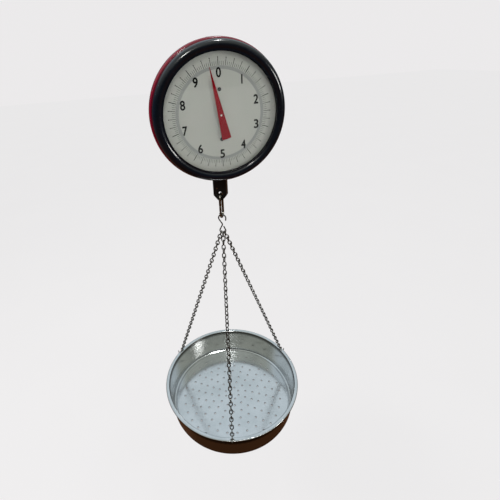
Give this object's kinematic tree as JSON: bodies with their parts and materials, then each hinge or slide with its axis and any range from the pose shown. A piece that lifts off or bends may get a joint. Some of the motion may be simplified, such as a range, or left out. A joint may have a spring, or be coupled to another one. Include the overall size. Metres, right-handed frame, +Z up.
{
  "type": "hanging spring scale",
  "caption": "Round dial spring scale with a rack-driven pointer, a swivel block, a snap hook, an S-hook and a perforated pan on three chains.",
  "frame": {"origin": "centre of the mouth of the suspension thread in the top of the case", "axes": "+Z up along the thread and the load axis; the dial faces -Y; +X to the right seen from the front"},
  "size_m": [0.3126, 0.3126, 0.7855],
  "materials": {
    "case_enamel": "gloss enamel over steel sheet",
    "bezel_enamel": "gloss black enamel over steel sheet",
    "lens_glass": "clear polished",
    "gasket_rubber": "matt black",
    "dial_enamel": "satin off-white with black printing",
    "pointer_enamel": "satin red",
    "blackened_steel": "black oxide",
    "brass": "turned",
    "zinc_steel": "zinc plated",
    "bright_steel": "nickel plated",
    "spring_steel": "drawn wire",
    "chain_steel": "zinc plated wire",
    "pan_aluminium": "spun, satin",
    "dashpot_aluminium": "turned"
  },
  "bodies": {
    "case": {"case_shell": "case_enamel", "rear_cover": "case_enamel", "cover_screws": "zinc_steel", "front_bezel": "bezel_enamel", "lens": "lens_glass", "lens_gasket": "gasket_rubber", "dial_plate": "dial_enamel", "dial_posts": "brass", "dial_screws": "blackened_steel", "shaft_bushes": "brass", "front_plate": "zinc_steel", "rear_plate": "zinc_steel", "frame_pillars": "zinc_steel", "frame_screws": "zinc_steel", "case_standoffs": "zinc_steel", "case_screws": "zinc_steel", "suspension_block": "blackened_steel", "carrier_guides": "bright_steel", "dashpot_cylinder": "dashpot_aluminium", "dashpot_gland": "brass", "draw_bar_bush": "brass", "saddle_washer": "brass", "bush_nut": "zinc_steel"},
    "zero_adjuster": {"zero_screw": "brass"},
    "carrier": {"spring_carrier": "zinc_steel"},
    "needle": {"pointer": "pointer_enamel", "pointer_shaft": "bright_steel", "pinion": "brass"},
    "draw": {"spring_left": "spring_steel", "spring_right": "spring_steel", "crosshead": "zinc_steel", "rack": "brass", "rack_pin": "bright_steel", "dashpot_piston": "bright_steel", "draw_bar": "bright_steel"},
    "swivel": {"swivel_block": "blackened_steel", "swivel_pin": "bright_steel"},
    "snap": {"snap_hook": "bright_steel", "gate_pin": "bright_steel"},
    "gate": {"snap_gate": "bright_steel"},
    "hook": {"s_hook": "chain_steel"},
    "pan_set": {"chain_front": "chain_steel", "chain_right": "chain_steel", "chain_left": "chain_steel", "rim_hooks": "chain_steel", "pan": "pan_aluminium"}
  },
  "joints": [
    {"name": "load_slide", "type": "slide", "parent": "case", "child": "draw", "axis": [0, 0, -1], "range_m": [-0.001, 0.0273], "stiffness_N_per_m": 1686, "springref_m": -0.00434, "deforming": ["spring_left", "spring_right"]},
    {"name": "pointer_turn", "type": "hinge", "parent": "case", "child": "needle", "pos_m": [0, 0, -0.1087], "axis": [0, 1, 0], "range_deg": [-14.5, 374]},
    {"name": "zero_turn", "type": "hinge", "parent": "case", "child": "zero_adjuster", "pos_m": [-0.0025, 0, -0.044], "axis": [0, 1, 0], "range_deg": [-27, 27]},
    {"name": "carrier_slide", "type": "slide", "parent": "case", "child": "carrier", "axis": [0, 0, 1], "range_m": [-0.001, 0.001]},
    {"name": "block_swivel", "type": "hinge", "parent": "draw", "child": "swivel", "pos_m": [0, 0, -0.2382], "axis": [0, 0, 1], "continuous": true},
    {"name": "snap_swing", "type": "hinge", "parent": "swivel", "child": "snap", "pos_m": [0, 0, -0.2495], "axis": [0.4695, 0.8829, 0], "range_deg": [-45, 45]},
    {"name": "gate_hinge", "type": "hinge", "parent": "snap", "child": "gate", "pos_m": [-0.00423, -0.00795, -0.2851], "axis": [-0.8829, 0.4695, 0], "range_deg": [0, 25], "stiffness_Nm_per_rad": 0.02, "springref_deg": -57.3},
    {"name": "hook_swing", "type": "hinge", "parent": "snap", "child": "hook", "pos_m": [0, 0, -0.2866], "axis": [0.8829, -0.4695, 0], "range_deg": [-30, 30]},
    {"name": "pan_swing", "type": "hinge", "parent": "hook", "child": "pan_set", "pos_m": [0, 0, -0.3248], "axis": [0.4695, 0.8829, 0], "range_deg": [-12, 12]}
  ],
  "couplings": [
    {"joint": "pointer_turn", "follows": "load_slide", "rad_per_m": 238.1},
    {"joint": "zero_turn", "follows": "carrier_slide", "rad_per_m": -400}
  ]
}
